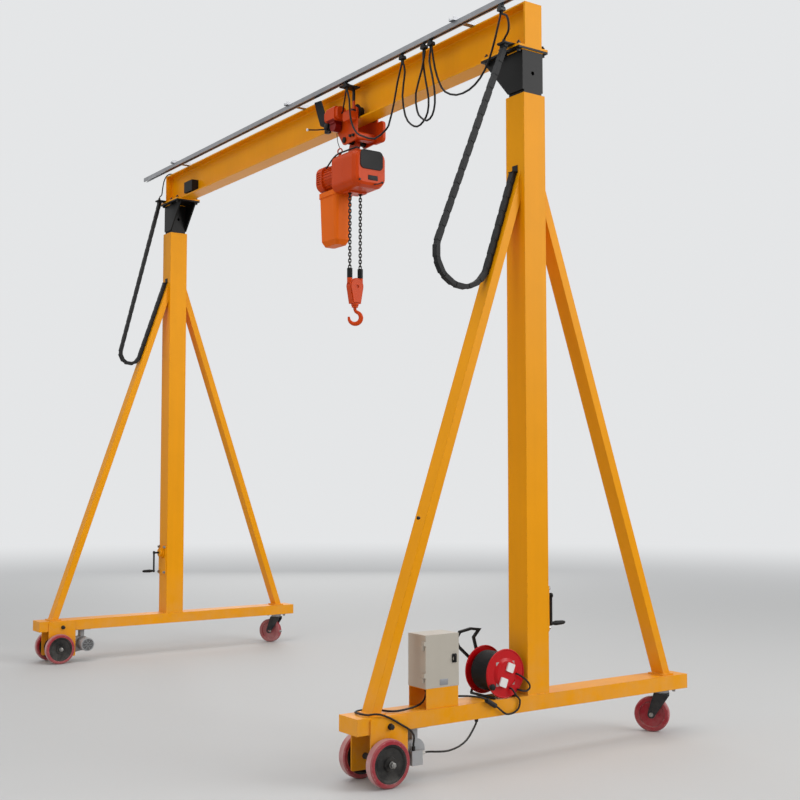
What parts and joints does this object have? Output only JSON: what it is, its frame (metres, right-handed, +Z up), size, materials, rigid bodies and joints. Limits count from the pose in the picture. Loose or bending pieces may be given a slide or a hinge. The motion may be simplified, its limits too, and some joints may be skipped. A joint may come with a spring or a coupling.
{
  "type": "mobile gantry crane",
  "caption": "Height-adjustable travelling gantry crane: two A-frames on wheels, an I-beam, a motor trolley and an electric chain hoist with a hook.",
  "frame": {"origin": "on the floor under the middle of the beam", "axes": "+X along the beam towards the frame with the control box, +Y along the sills from the driven wheels to the casters, +Z up"},
  "size_m": [5.01, 2.28, 4.0708],
  "materials": {
    "yellow_paint": "satin yellow paint, dusty and scuffed",
    "black_paint": "matt black paint",
    "wheel_steel": "black painted steel wheel centre",
    "tyre_red": "polyurethane tread, dusty",
    "caster_paint": "dark blue-black paint",
    "motor_silver": "silver paint",
    "zinc": "galvanised",
    "black_plastic": "matt black plastic",
    "cable_rubber": "black rubber sheath",
    "box_beige": "beige grey powder coat",
    "reel_red": "gloss red paint",
    "hoist_orange": "orange-red paint",
    "bucket_orange": "orange plastic",
    "chain_steel": "oiled steel"
  },
  "bodies": {
    "portal": {"sills": "yellow_paint", "columns": "yellow_paint", "braces": "yellow_paint", "drive_brackets": "yellow_paint", "travel_gearmotors": "motor_silver", "caster_plates": "zinc", "lift_gearboxes": "yellow_paint", "drag_chains": "black_plastic", "frame_cables": "cable_rubber", "control_box_stand": "yellow_paint", "control_box": "box_beige", "reel_stand": "black_paint", "reel_drum": "reel_red", "reel_cable": "cable_rubber"},
    "near_axle": {"near_drive_wheels": "wheel_steel", "near_drive_tyres": "tyre_red"},
    "far_axle": {"far_drive_wheels": "wheel_steel", "far_drive_tyres": "tyre_red"},
    "near_caster": {"near_caster_fork": "caster_paint"},
    "near_caster_roller": {"near_caster_wheel": "tyre_red"},
    "far_caster": {"far_caster_fork": "caster_paint"},
    "far_caster_roller": {"far_caster_wheel": "tyre_red"},
    "near_crank": {"near_crank": "black_paint"},
    "far_crank": {"far_crank": "black_paint"},
    "box_door": {"control_box_door": "box_beige"},
    "lift_beam": {"beam": "yellow_paint", "head_plates": "yellow_paint", "heads": "black_paint", "cable_rail": "zinc", "junction_box": "black_plastic", "beam_cables": "cable_rubber"},
    "trolley": {"trolley_plates": "hoist_orange", "trolley_wheels": "wheel_steel", "trolley_drive": "hoist_orange", "hoist_hanger": "black_paint", "hoist_body": "hoist_orange", "hoist_covers": "hoist_orange", "chain_bucket": "bucket_orange", "load_chain": "chain_steel", "hoist_cables": "cable_rubber"},
    "hook_block": {"hook_block": "hoist_orange"},
    "hook": {"hook": "hoist_orange"},
    "cable_trolley_a": {"cable_trolley_a": "black_plastic"},
    "cable_trolley_b": {"cable_trolley_b": "black_plastic"},
    "cable_trolley_c": {"cable_trolley_c": "black_plastic"}
  },
  "joints": [
    {"name": "beam_lift", "type": "slide", "parent": "portal", "child": "lift_beam", "axis": [0, 0, 1], "range_m": [0, 1], "deforming": ["drag_chains"]},
    {"name": "trolley_travel", "type": "slide", "parent": "lift_beam", "child": "trolley", "axis": [1, 0, 0], "range_m": [-2.1, 1], "deforming": ["beam_cables", "hoist_cables"]},
    {"name": "hook_lift", "type": "slide", "parent": "trolley", "child": "hook_block", "axis": [0, 0, 1], "range_m": [-2.25, 0.4], "deforming": ["load_chain"]},
    {"name": "hook_swivel", "type": "hinge", "parent": "hook_block", "child": "hook", "pos_m": [0.565, 0, 2.605], "axis": [0, 0, 1], "continuous": true},
    {"name": "near_drive", "type": "hinge", "parent": "portal", "child": "near_axle", "pos_m": [2.275, -0.99, 0.115], "axis": [1, 0, 0], "continuous": true},
    {"name": "far_drive", "type": "hinge", "parent": "portal", "child": "far_axle", "pos_m": [-2.275, -0.99, 0.115], "axis": [1, 0, 0], "continuous": true},
    {"name": "near_caster_swivel", "type": "hinge", "parent": "portal", "child": "near_caster", "pos_m": [2.275, 1.01, 0.23], "axis": [0, 0, 1], "continuous": true},
    {"name": "near_caster_roll", "type": "hinge", "parent": "near_caster", "child": "near_caster_roller", "pos_m": [2.22995, 0.97845, 0.1], "axis": [0.5736, -0.8192, 0], "continuous": true},
    {"name": "far_caster_swivel", "type": "hinge", "parent": "portal", "child": "far_caster", "pos_m": [-2.275, 1.01, 0.23], "axis": [0, 0, 1], "continuous": true},
    {"name": "far_caster_roll", "type": "hinge", "parent": "far_caster", "child": "far_caster_roller", "pos_m": [-2.32005, 0.97845, 0.1], "axis": [0.5736, -0.8192, 0], "continuous": true},
    {"name": "near_crank_turn", "type": "hinge", "parent": "portal", "child": "near_crank", "pos_m": [2.275, 0.1, 0.83], "axis": [0, 1, 0], "continuous": true},
    {"name": "far_crank_turn", "type": "hinge", "parent": "portal", "child": "far_crank", "pos_m": [-2.275, -0.1, 0.83], "axis": [0, 1, 0], "continuous": true},
    {"name": "box_door_hinge", "type": "hinge", "parent": "portal", "child": "box_door", "pos_m": [2.3335, -0.741, 0.56], "axis": [0, 0, -1], "range_deg": [0, 110]},
    {"name": "cable_trolley_a_run", "type": "slide", "parent": "lift_beam", "child": "cable_trolley_a", "axis": [1, 0, 0], "range_m": [-0.98, 0.47]},
    {"name": "cable_trolley_b_run", "type": "slide", "parent": "lift_beam", "child": "cable_trolley_b", "axis": [1, 0, 0], "range_m": [-0.65, 0.31]},
    {"name": "cable_trolley_c_run", "type": "slide", "parent": "lift_beam", "child": "cable_trolley_c", "axis": [1, 0, 0], "range_m": [-0.59, 0.28]}
  ],
  "couplings": [
    {"joint": "cable_trolley_a_run", "follows": "trolley_travel", "ratio": 0.445},
    {"joint": "cable_trolley_b_run", "follows": "trolley_travel", "ratio": 0.285},
    {"joint": "cable_trolley_c_run", "follows": "trolley_travel", "ratio": 0.26}
  ]
}
